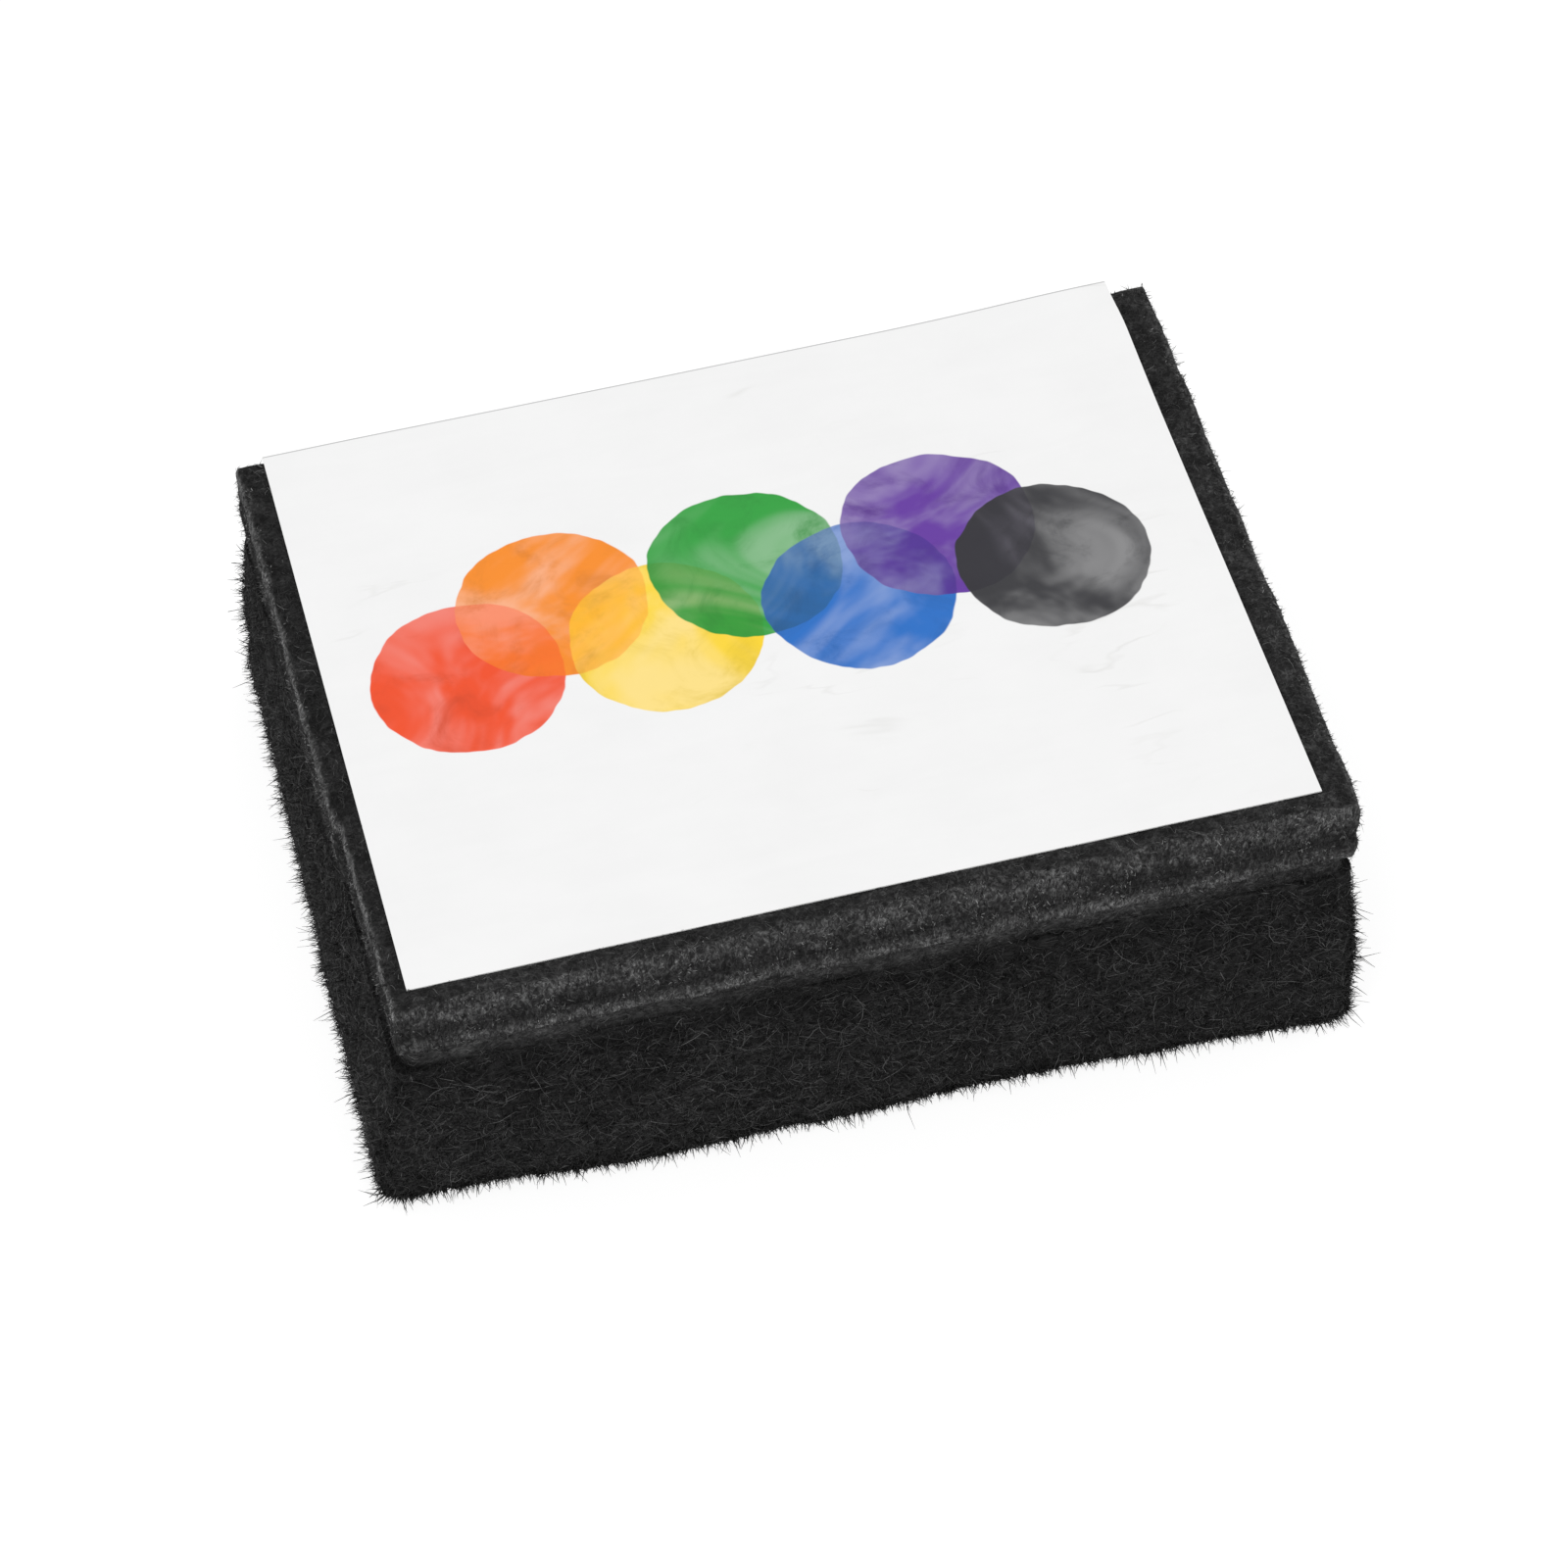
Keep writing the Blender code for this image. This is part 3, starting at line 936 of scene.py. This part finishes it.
FIBRE = 0.045 * MM
THICKEST = 1.3  # the thickest fibre of a style, as a share of the style's thickness
LYING = dict(
    points=6, length=2.4 * MM, shape=4, spread=0.55, bend=0.3, wander=0.3, lift=0.14 * MM, free=0.1,
    thickness=FIBRE
)
STANDING = dict(
    points=3, length=0.6 * MM, shape=3, spread=1.6, bend=0.4, wander=0.5, lift=0.44 * MM, free=0.85,
    thickness=FIBRE
)
CLUMP = dict(
    points=3, length=0.42 * MM, shape=4, spread=0.7, bend=0.2, wander=0.3, lift=0.36 * MM, free=1.0,
    thickness=0.13 * MM
)
FRINGE = dict(
    points=3, length=0.40 * MM, shape=3, spread=1.6, bend=0.3, wander=0.4, lift=0.46 * MM, free=1.0,
    thickness=0.12 * MM
)
BRIDGE = dict(
    points=4, length=1.2 * MM, shape=4, spread=1.6, bend=0.4, wander=0.4, lift=0.16 * MM, free=0.15,
    thickness=0.055 * MM
)
STRAY = dict(
    points=10, length=5.0 * MM, shape=6, spread=0.9, bend=0.2, wander=0.08, lift=0.22 * MM, free=0.1,
    thickness=FIBRE
)
NAP = dict(
    points=4, length=0.9 * MM, shape=3, spread=1.6, bend=0.4, wander=0.4, lift=0.10 * MM, free=0.3,
    thickness=0.038 * MM
)
TUFT = dict(
    points=3, length=0.32 * MM, shape=3, spread=1.6, bend=0.2, wander=0.4, lift=0.20 * MM, free=0.9,
    thickness=0.07 * MM
)
SPECK = dict(
    points=3, length=0.26 * MM, shape=4, spread=1.6, bend=0.2, wander=0.4, lift=0.12 * MM, free=0.6,
    thickness=0.13 * MM
)

# How many of them grow on a square millimetre
LYING_DENSITY = 5.4
STANDING_DENSITY = 4.6
CLUMP_DENSITY = 5.4
STRAY_DENSITY = 0.02
FRINGE_DENSITY = 40.0
BRIDGE_DENSITY = 13.0
TOP_NAP_DENSITY = 12.0
FACING_NAP_DENSITY = 8.0
UPPER_TUFT_DENSITY = 10.0
LOWER_TUFT_DENSITY = 12.0
SPECK_DENSITY = 4.5
UNDERSIDE_SHARE = 0.18  # of the density on the sides

# The tones' brightness, and the shares in which they are mixed
HAIR_TONES = {"black": 0.006, "dark": 0.020, "grey": 0.060, "light": 0.11}
NAP_TONES = {"dark": 0.010, "mid": 0.036, "light": 0.13, "bright": 0.22}
LYING_MIX = [0.40, 0.24, 0.28, 0.08]
FUZZ_MIX = [0.46, 0.34, 0.18, 0.02]
FRINGE_MIX = [0.60, 0.34, 0.06, 0.0]
BRIDGE_MIX = [0.50, 0.38, 0.11, 0.01]
TOP_NAP_MIX = [0.5, 0.41, 0.09, 0.0]
FACING_NAP_MIX = [0.50, 0.44, 0.06, 0.0]
BRIGHT_SPECKS = 0.45  # the share of the specks that are bright, where the rest are light


def side_of(normals):
    """Which side each normal faces: front 0, right 1, back 2, left 3, underside 4, top 5."""
    turn = np.arctan2(normals[:, 1], normals[:, 0])
    side = (np.floor((turn + math.pi / 4) / (math.pi / 2)).astype(int) + 1) % 4
    level = np.where(normals[:, 2] < 0, 4, 5)
    return np.where(np.abs(normals[:, 2]) > 0.8, level, side)


def pad_weight(wanted):
    """Sows one side of the pad, thinly where it is pinched under its facing."""
    def weight(points, normals):
        thin = smooth_step(0.8 * MM, 3.5 * MM, under_pad_top(points))
        return (side_of(normals) == wanted) * (0.25 + 0.75 * thin)
    return weight


def outline_weight(points, normals):
    """Sows the pad's lower edge and its upright corners, where its outline shows."""
    low = 1 - smooth_step(0.7 * MM, 1.8 * MM, points[:, 2])
    corner = smooth_step(0.25, 0.6, np.minimum(np.abs(normals[:, 0]), np.abs(normals[:, 1])))
    corner = corner * smooth_step(0.3 * MM, 2 * MM, under_pad_top(points))
    return np.maximum(low, 0.7 * corner) * (normals[:, 2] > -0.85)


def joint_weight(points, normals):
    """Sows both sides of the joint between the facing and the pad."""
    above = -under_pad_top(points)
    near = smooth_step(-1.2 * MM, -0.4 * MM, above) * (1 - smooth_step(0.4 * MM, 1.3 * MM, above))
    return near * (np.abs(normals[:, 2]) < 0.8)


def mixed_tone(shares):
    """Tones drawn at random in the given shares."""
    def tone(paths, rng):
        return rng.choice(len(shares), len(paths), p=shares)
    return tone


def band_tone(slab, bands):
    """Light tones in the light bands of a ply's cut faces, and dark tones in the dark ones."""
    places = [share for share, _ in bands]
    light = [brightness for _, brightness in bands]

    def tone(paths, rng):
        roots = paths[:, 0]
        patchy = np.clip(0.75 + 1.6 * waves(roots, 2.4 * MM, 31, 2), 0.15, 2.0)
        chance = patchy * np.interp(height_share(slab, roots), places, light) / 0.07
        drawn = rng.random(len(paths))
        return np.where(drawn < 0.28 * chance, 2, np.where(drawn < 0.75 * chance, 1, 0))
    return tone


def grow_pad(pad, facing):
    """The pad's hair, in two pieces to a side: lying hair, and the fuzz and clumps that stand out of it. Its
    lower edge has a ragged fringe, and hair lies over the joint with the facing."""
    materials = [fibre_material("hair_" + name, brightness) for name, brightness in HAIR_TONES.items()]
    surface = Surface(pad)
    for number, name in enumerate(["front", "right", "back", "left", "underside"]):
        rng = np.random.default_rng(SEED + number)
        weight = pad_weight(number)
        thin = UNDERSIDE_SHARE if name == "underside" else 1.0
        lying = grow(surface, LYING_DENSITY * thin, weight, LYING, rng)
        fibre_piece("pad_hair_" + name, [lying], materials, mixed_tone(LYING_MIX), rng)
        standing = grow(surface, STANDING_DENSITY * thin, weight, STANDING, rng)
        clumps = grow(surface, CLUMP_DENSITY * thin, weight, CLUMP, rng)
        stray = grow(surface, STRAY_DENSITY * thin, weight, STRAY, rng)
        fuzz = [standing, clumps, stray]
        fibre_piece("pad_fuzz_" + name, fuzz, materials, mixed_tone(FUZZ_MIX), rng)
    rng = np.random.default_rng(SEED + 5)
    fringe = grow(surface, FRINGE_DENSITY, outline_weight, FRINGE, rng)
    fibre_piece("pad_fringe", [fringe], materials, mixed_tone(FRINGE_MIX), rng)
    bridge = grow(Surface(facing, pad), BRIDGE_DENSITY, joint_weight, BRIDGE, rng)
    fibre_piece("joint_hair", [bridge], materials, mixed_tone(BRIDGE_MIX), rng)


def keep_under_label(batch):
    """Press a batch's fibres down where they would come up through the label."""
    paths = batch[0]
    x, y = paths[..., 0], paths[..., 1]
    covered = (x > LABEL.x[0]) & (x < LABEL.x[1]) & (y > LABEL.y[0]) & (y < LABEL.y[1])
    ceiling = height_at(LABEL.bottom, LABEL, x) - LABEL_GLUE
    paths[..., 2] = np.where(covered, np.minimum(paths[..., 2], ceiling), paths[..., 2])


def inward_mm(points):
    """Millimetres inside the plies' sides, unevenly."""
    return from_edge(UPPER, points) / MM + 0.8 * waves(points, 3 * MM, 33, 1)


def top_weight(points, normals):
    """Sows the bare top around the label, but for its very edge."""
    return (normals[:, 2] > 0.8) * (under_label(points) < 0.5) * smooth_step(0.2, 0.6, inward_mm(points))


def cut_weight(points, normals):
    """Sows the cut faces, and the edge of the top and the bottom."""
    return np.where(np.abs(normals[:, 2]) < 0.8, 1.0, 1 - smooth_step(0.4, 0.8, inward_mm(points)))


def speck_weight(points, normals):
    """Sows patches of the cut faces."""
    patch = smooth_step(-0.1, 0.45, waves(points, 2.4 * MM, 31, 2))
    return cut_weight(points, normals) * patch * (points[:, 2] > LOWER.bottom[0])


def speck_tone(paths, rng):
    """Bright and light tones only."""
    return np.where(rng.random(len(paths)) < BRIGHT_SPECKS, 3, 2)


def grow_backing(upper, lower, facing):
    """The nap of the backing's top around the label, and the tufts and specks of the cut faces."""
    materials = [fibre_material("nap_" + name, brightness) for name, brightness in NAP_TONES.items()]
    upper, lower, facing = Surface(upper), Surface(lower), Surface(facing)
    upper_tone, lower_tone = band_tone(UPPER, UPPER_BANDS), band_tone(LOWER, LOWER_BANDS)
    top_tone, facing_tone = mixed_tone(TOP_NAP_MIX), mixed_tone(FACING_NAP_MIX)
    rows = [
        ("backing_nap", upper, TOP_NAP_DENSITY, top_weight, NAP, top_tone, "pressed_felt"),
        ("upper_tufts", upper, UPPER_TUFT_DENSITY, cut_weight, TUFT, upper_tone, "pressed_felt"),
        ("upper_specks", upper, SPECK_DENSITY, speck_weight, SPECK, speck_tone, "pressed_felt"),
        ("lower_tufts", lower, LOWER_TUFT_DENSITY, cut_weight, TUFT, lower_tone, "pressed_felt"),
        ("lower_specks", lower, SPECK_DENSITY, speck_weight, SPECK, speck_tone, "pressed_felt"),
        ("facing_fuzz", facing, FACING_NAP_DENSITY, cut_weight, NAP, facing_tone, "needled_felt"),
    ]
    rng = np.random.default_rng(SEED + 10)
    for name, surface, density, weight, style, tone, slot in rows:
        batch = grow(surface, density, weight, style, rng)
        keep_under_label(batch)
        fibre_piece(name, [batch], materials, tone, rng)


# -------- stage, light and camera

FLOOR_SIZE = 6.0
FLOOR_GREY = 0.25
FLOOR_GLOW = 0.80
ROOM_BRIGHTNESS = 0.93
KEY_PLACE = (-0.35, -0.5, 1.2)
KEY_SIZE = 0.9
KEY_POWER = 5.2


def build_stage():
    """A plain pale floor, lit from within like a light table, so that shadows stay faint."""
    bpy.ops.mesh.primitive_plane_add(size=FLOOR_SIZE, location=(0, 0, 0))
    floor = bpy.context.object
    floor.name = "floor"
    n = Nodes("pale_floor")
    n.set("Base Color", grey(FLOOR_GREY))
    n.set("Emission Color", (1, 1, 1, 1))
    n.set("Emission Strength", FLOOR_GLOW)
    n.set("Roughness", 1.0)
    n.set("Specular IOR Level", 0.0)
    floor.data.materials.append(n.material)


def build_light():
    """A bright even room, and a soft square light that looks at the eraser from above its front left."""
    world = bpy.data.worlds.new("studio")
    world.use_nodes = True
    background = world.node_tree.nodes["Background"]
    background.inputs["Color"].default_value = (1, 1, 1, 1)
    background.inputs["Strength"].default_value = ROOM_BRIGHTNESS
    bpy.context.scene.world = world
    lamp = bpy.data.lights.new("key", "AREA")
    lamp.size = KEY_SIZE
    lamp.energy = KEY_POWER
    key = bpy.data.objects.new("key", lamp)
    key.location = KEY_PLACE
    key.rotation_euler = (-Vector(KEY_PLACE)).to_track_quat("-Z", "Y").to_euler()
    bpy.context.scene.collection.objects.link(key)
    bpy.context.scene.view_settings.view_transform = "Standard"


def build_camera():
    """The camera, turned and raised about the middle of the CAD box."""
    low, high = cad_box
    aim = (Vector(low) + Vector(high)) / 2 + AIM_FROM_CENTRE
    back = Vector((
        math.sin(CAMERA_AZIMUTH) * math.cos(CAMERA_ELEVATION),
        -math.cos(CAMERA_AZIMUTH) * math.cos(CAMERA_ELEVATION),
        math.sin(CAMERA_ELEVATION),
    ))
    lens = bpy.data.cameras.new("camera")
    lens.lens = CAMERA_LENS
    lens.sensor_width = 36.0
    lens.clip_start = 0.01
    camera = bpy.data.objects.new("camera", lens)
    camera.location = aim + back * CAMERA_DISTANCE
    camera.rotation_euler = (-back).to_track_quat("-Z", "Y").to_euler()
    bpy.context.scene.collection.objects.link(camera)
    bpy.context.scene.camera = camera


def finish_films():
    """The glue films stay as the CAD made them."""
    glue = glue_material()
    for node in ("label_adhesive", "ply_bond_film", "pad_bond_film"):
        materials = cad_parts[node].data.materials
        materials.clear()
        materials.append(glue)


def main():
    build_camera()
    build_stage()
    build_light()
    finish_films()
    build_label()
    upper, lower, facing, pad = build_upper(), build_lower(), build_facing(), build_pad()
    grow_pad(pad, facing)
    grow_backing(upper, lower, facing)


main()
